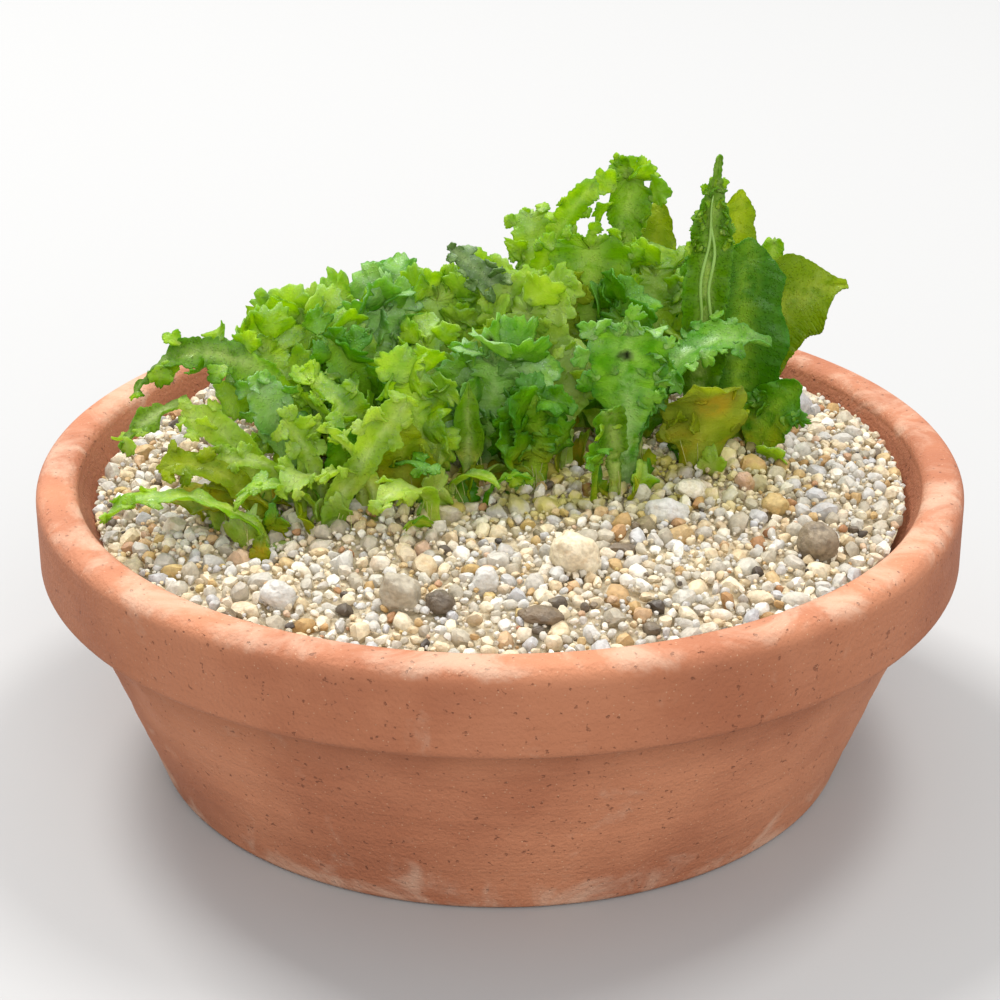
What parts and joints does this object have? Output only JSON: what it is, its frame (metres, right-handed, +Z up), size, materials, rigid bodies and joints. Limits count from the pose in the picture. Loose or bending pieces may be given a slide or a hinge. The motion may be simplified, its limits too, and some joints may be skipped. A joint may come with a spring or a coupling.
{
  "type": "potted pellia liverwort",
  "caption": "Tuft of frilled green liverwort fronds growing on coarse shell sand in a low plain clay pot.",
  "frame": {"origin": "centre of the pot's foot, on the surface that the pot stands on", "axes": "+Z up, +X to the tuft's right and +Y to its back, seen from the side that shows best"},
  "size_m": [0.066, 0.066, 0.0436],
  "materials": {
    "clay": "unglazed, fine grained",
    "shell_sand": "coarse quartz and shell grains",
    "pale_stone": "smooth, worn",
    "brown_stone": "rough, worn",
    "red_stone": "rough, worn",
    "cream_stone": "grainy, worn",
    "thallus_bright": "moist, translucent",
    "thallus_deep": "moist, translucent",
    "thallus_teal": "moist, granular sheen",
    "thallus_yellow": "moist, translucent",
    "thallus_olive": "moist, translucent",
    "thallus_grey": "moist, satin",
    "thallus_pale": "moist, translucent"
  },
  "bodies": {
    "root": {"pot": "clay", "sand": "shell_sand", "pebble_white": "pale_stone", "pebble_block": "pale_stone", "pebble_brown": "brown_stone", "pebble_red": "red_stone", "pebble_cream": "cream_stone", "round_lobe": "thallus_deep", "pointed_sheet": "thallus_yellow", "toothed_tip": "thallus_bright", "oval_lobe": "thallus_yellow", "tall_pointed": "thallus_bright", "mid_right_fan": "thallus_bright", "tall_fan": "thallus_bright", "tall_fan_back": "thallus_yellow", "wide_sheet": "thallus_bright", "knobby_frond": "thallus_bright", "curled_lobe": "thallus_bright", "grainy_mid": "thallus_deep", "teal_shelf": "thallus_teal", "dotted_sheet": "thallus_bright", "amber_sheet": "thallus_olive", "right_low_lobe": "thallus_deep", "front_stem": "thallus_bright", "second_stem": "thallus_pale", "lance_leaf": "thallus_bright", "mid_frill_a": "thallus_yellow", "mid_frill_b": "thallus_bright", "grey_fold": "thallus_grey", "mid_frill_c": "thallus_bright", "olive_mid": "thallus_olive", "centre_teal": "thallus_teal", "centre_front": "thallus_bright", "front_frill": "thallus_deep", "teal_toothed": "thallus_teal", "left_crest": "thallus_bright", "left_crest_b": "thallus_bright", "left_lobes": "thallus_bright", "long_arch": "thallus_bright", "arch_hook": "thallus_pale", "teal_round": "thallus_teal", "low_strap_a": "thallus_pale", "low_strap_b": "thallus_olive", "runner": "thallus_bright", "low_sheet": "thallus_olive", "hanging_lobe": "thallus_pale", "cross_strap": "thallus_pale", "dark_under": "thallus_deep", "spoon_lobe": "thallus_olive", "front_drip": "thallus_pale", "thin_leaf": "thallus_bright", "bright_strap": "thallus_bright", "dark_point": "thallus_deep", "left_mid_a": "thallus_bright", "left_mid_b": "thallus_bright", "back_a": "thallus_deep", "back_b": "thallus_bright", "back_c": "thallus_bright", "back_d": "thallus_deep", "back_left": "thallus_bright"}
  },
  "joints": []
}
